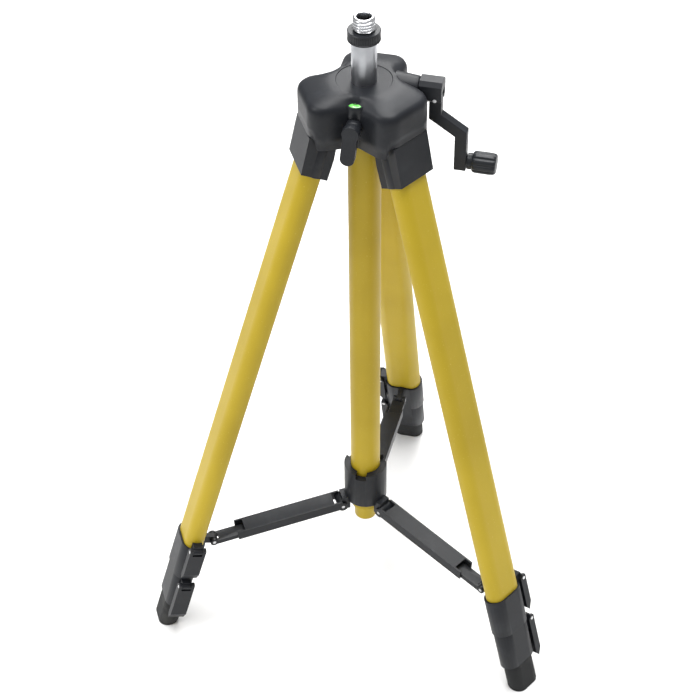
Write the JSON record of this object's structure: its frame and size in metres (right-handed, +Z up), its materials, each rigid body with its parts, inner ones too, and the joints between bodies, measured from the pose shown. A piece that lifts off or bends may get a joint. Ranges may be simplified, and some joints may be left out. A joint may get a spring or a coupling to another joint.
{
  "type": "elevator tripod",
  "caption": "Folding elevator tripod with telescopic oval legs, spreader braces and a geared, cranked centre column that ends in a threaded stud.",
  "frame": {"origin": "on the tripod's axis, at floor level", "axes": "+Z up along the column, +Y towards the back leg, +X towards the crank"},
  "size_m": [0.3428, 0.3055, 0.5775],
  "materials": {
    "yellow_paint": "satin yellow coat on aluminium tube",
    "yellow_plastic": "moulded yellow end plug",
    "black_plastic": "moulded black plastic with a fine grain",
    "satin_aluminium": "satin drawn aluminium",
    "chrome": "bright plated steel",
    "steel": "zinc plated steel",
    "green_vial": "clear cap over green liquid",
    "foot_rubber": "moulded black rubber",
    "white_nylon": "white nylon bush"
  },
  "bodies": {
    "frame": {"crown_body": "black_plastic", "leg_hinge_pins": "steel", "level_housing": "black_plastic", "level_vial": "green_vial", "centre_tube": "yellow_paint", "centre_tube_plug": "yellow_plastic", "column_bush": "white_nylon"},
    "column": {"column": "satin_aluminium", "swivel_spigot": "satin_aluminium"},
    "adapter": {"knurled_ring": "black_plastic", "threaded_stud": "chrome"},
    "crank": {"crank_shaft": "steel", "crank_fork": "black_plastic", "fold_pin": "steel"},
    "crank_arm": {"crank_arm": "black_plastic"},
    "crank_knob": {"crank_knob": "black_plastic"},
    "lock_lever": {"lock_lever": "black_plastic", "lock_screw": "steel"},
    "hub": {"hub_collar": "black_plastic", "hub_pins": "steel"},
    "left_leg": {"left_leg_cap": "black_plastic", "left_upper_tube": "yellow_paint", "left_upper_collar": "black_plastic", "left_upper_pins": "steel"},
    "left_middle_leg": {"left_middle_tube": "yellow_paint", "left_lower_collar": "black_plastic", "left_lower_pin": "steel"},
    "left_inner_leg": {"left_inner_tube": "yellow_paint", "left_foot": "foot_rubber"},
    "left_upper_lever": {"left_upper_lever": "black_plastic"},
    "left_lower_lever": {"left_lower_lever": "black_plastic"},
    "left_brace": {"left_brace_channel": "black_plastic"},
    "left_brace_fork": {"left_brace_fork": "black_plastic"},
    "right_leg": {"right_leg_cap": "black_plastic", "right_upper_tube": "yellow_paint", "right_upper_collar": "black_plastic", "right_upper_pins": "steel"},
    "right_middle_leg": {"right_middle_tube": "yellow_paint", "right_lower_collar": "black_plastic", "right_lower_pin": "steel"},
    "right_inner_leg": {"right_inner_tube": "yellow_paint", "right_foot": "foot_rubber"},
    "right_upper_lever": {"right_upper_lever": "black_plastic"},
    "right_lower_lever": {"right_lower_lever": "black_plastic"},
    "right_brace": {"right_brace_channel": "black_plastic"},
    "right_brace_fork": {"right_brace_fork": "black_plastic"},
    "back_leg": {"back_leg_cap": "black_plastic", "back_upper_tube": "yellow_paint", "back_upper_collar": "black_plastic", "back_upper_pins": "steel"},
    "back_middle_leg": {"back_middle_tube": "yellow_paint", "back_lower_collar": "black_plastic", "back_lower_pin": "steel"},
    "back_inner_leg": {"back_inner_tube": "yellow_paint", "back_foot": "foot_rubber"},
    "back_upper_lever": {"back_upper_lever": "black_plastic"},
    "back_lower_lever": {"back_lower_lever": "black_plastic"},
    "back_brace": {"back_brace_channel": "black_plastic"},
    "back_brace_fork": {"back_brace_fork": "black_plastic"}
  },
  "joints": [
    {"name": "left_leg_fold", "type": "hinge", "parent": "frame", "child": "left_leg", "pos_m": [-0.02683, -0.01549, 0.498], "axis": [0.5, -0.866, 0], "range_deg": [0, 14.5]},
    {"name": "left_middle_slide", "type": "slide", "parent": "left_leg", "child": "left_middle_leg", "axis": [-0.2553, -0.1474, -0.9556], "range_m": [0, 0.3]},
    {"name": "left_inner_slide", "type": "slide", "parent": "left_middle_leg", "child": "left_inner_leg", "axis": [-0.2553, -0.1474, -0.9556], "range_m": [0, 0.3]},
    {"name": "left_upper_lever_flip", "type": "hinge", "parent": "left_leg", "child": "left_upper_lever", "pos_m": [-0.12364, -0.09609, 0.09556], "axis": [-0.8275, -0.4778, 0.2948], "range_deg": [0, 100]},
    {"name": "left_lower_lever_flip", "type": "hinge", "parent": "left_middle_leg", "child": "left_lower_lever", "pos_m": [-0.13502, -0.10174, 0.05447], "axis": [-0.8275, -0.4778, 0.2948], "range_deg": [0, 100]},
    {"name": "left_brace_swing", "type": "hinge", "parent": "hub", "child": "left_brace", "pos_m": [-0.0194, -0.0112, 0.096], "axis": [0.5, -0.866, 0], "range_deg": [0, 80.66]},
    {"name": "left_fork_swing", "type": "hinge", "parent": "left_leg", "child": "left_brace_fork", "pos_m": [-0.11899, -0.0687, 0.085], "axis": [0.5, -0.866, 0], "range_deg": [0, 66.16]},
    {"name": "right_leg_fold", "type": "hinge", "parent": "frame", "child": "right_leg", "pos_m": [0.02683, -0.01549, 0.498], "axis": [0.5, 0.866, 0], "range_deg": [0, 14.5]},
    {"name": "right_middle_slide", "type": "slide", "parent": "right_leg", "child": "right_middle_leg", "axis": [0.2553, -0.1474, -0.9556], "range_m": [0, 0.3]},
    {"name": "right_inner_slide", "type": "slide", "parent": "right_middle_leg", "child": "right_inner_leg", "axis": [0.2553, -0.1474, -0.9556], "range_m": [0, 0.3]},
    {"name": "right_upper_lever_flip", "type": "hinge", "parent": "right_leg", "child": "right_upper_lever", "pos_m": [0.14504, -0.05903, 0.09556], "axis": [0.8275, -0.4778, 0.2948], "range_deg": [0, 100]},
    {"name": "right_lower_lever_flip", "type": "hinge", "parent": "right_middle_leg", "child": "right_lower_lever", "pos_m": [0.15562, -0.06606, 0.05447], "axis": [0.8275, -0.4778, 0.2948], "range_deg": [0, 100]},
    {"name": "right_brace_swing", "type": "hinge", "parent": "hub", "child": "right_brace", "pos_m": [0.0194, -0.0112, 0.096], "axis": [0.5, 0.866, 0], "range_deg": [0, 80.66]},
    {"name": "right_fork_swing", "type": "hinge", "parent": "right_leg", "child": "right_brace_fork", "pos_m": [0.11899, -0.0687, 0.085], "axis": [0.5, 0.866, 0], "range_deg": [0, 66.16]},
    {"name": "back_leg_fold", "type": "hinge", "parent": "frame", "child": "back_leg", "pos_m": [0, 0.03098, 0.498], "axis": [-1, 0, 0], "range_deg": [0, 14.5]},
    {"name": "back_middle_slide", "type": "slide", "parent": "back_leg", "child": "back_middle_leg", "axis": [0, 0.2948, -0.9556], "range_m": [0, 0.3]},
    {"name": "back_inner_slide", "type": "slide", "parent": "back_middle_leg", "child": "back_inner_leg", "axis": [0, 0.2948, -0.9556], "range_m": [0, 0.3]},
    {"name": "back_upper_lever_flip", "type": "hinge", "parent": "back_leg", "child": "back_upper_lever", "pos_m": [-0.0214, 0.15512, 0.09556], "axis": [0, 0.9556, 0.2948], "range_deg": [0, 100]},
    {"name": "back_lower_lever_flip", "type": "hinge", "parent": "back_middle_leg", "child": "back_lower_lever", "pos_m": [-0.0206, 0.1678, 0.05447], "axis": [0, 0.9556, 0.2948], "range_deg": [0, 100]},
    {"name": "back_brace_swing", "type": "hinge", "parent": "hub", "child": "back_brace", "pos_m": [0, 0.0224, 0.096], "axis": [-1, 0, 0], "range_deg": [0, 80.66]},
    {"name": "back_fork_swing", "type": "hinge", "parent": "back_leg", "child": "back_brace_fork", "pos_m": [0, 0.1374, 0.085], "axis": [-1, 0, 0], "range_deg": [0, 66.16]},
    {"name": "hub_slide", "type": "slide", "parent": "frame", "child": "hub", "axis": [0, 0, 1], "range_m": [0, 0.0912]},
    {"name": "column_lift", "type": "slide", "parent": "frame", "child": "column", "axis": [0, 0, 1], "range_m": [-0.03, 0.25]},
    {"name": "crank_turn", "type": "hinge", "parent": "frame", "child": "crank", "pos_m": [0, 0.0134, 0.516], "axis": [-1, 0, 0], "range_deg": [-290, 2400]},
    {"name": "crank_fold", "type": "hinge", "parent": "crank", "child": "crank_arm", "pos_m": [0.05, 0.0134, 0.511], "axis": [0, -1, 0], "range_deg": [0, 90]},
    {"name": "knob_spin", "type": "hinge", "parent": "crank_arm", "child": "crank_knob", "pos_m": [0.085, 0.0134, 0.458], "axis": [1, 0, 0], "continuous": true},
    {"name": "lock_turn", "type": "hinge", "parent": "frame", "child": "lock_lever", "pos_m": [0, -0.038, 0.5065], "axis": [0, 1, 0], "range_deg": [0, 75]},
    {"name": "adapter_turn", "type": "hinge", "parent": "column", "child": "adapter", "pos_m": [0, 0, 0.567], "axis": [0, 0, 1], "continuous": true}
  ],
  "couplings": [
    {"joint": "left_brace_swing", "follows": "left_leg_fold", "ratio": 5.5493},
    {"joint": "left_fork_swing", "follows": "left_leg_fold", "ratio": 4.5493},
    {"joint": "right_leg_fold", "follows": "left_leg_fold", "ratio": 1},
    {"joint": "right_brace_swing", "follows": "left_leg_fold", "ratio": 5.5493},
    {"joint": "right_fork_swing", "follows": "left_leg_fold", "ratio": 4.5493},
    {"joint": "back_leg_fold", "follows": "left_leg_fold", "ratio": 1},
    {"joint": "back_brace_swing", "follows": "left_leg_fold", "ratio": 5.5493},
    {"joint": "back_fork_swing", "follows": "left_leg_fold", "ratio": 4.5493},
    {"joint": "hub_slide", "follows": "left_leg_fold", "m_per_rad": 0.35856},
    {"joint": "crank_turn", "follows": "column_lift", "rad_per_m": 166.67}
  ]
}
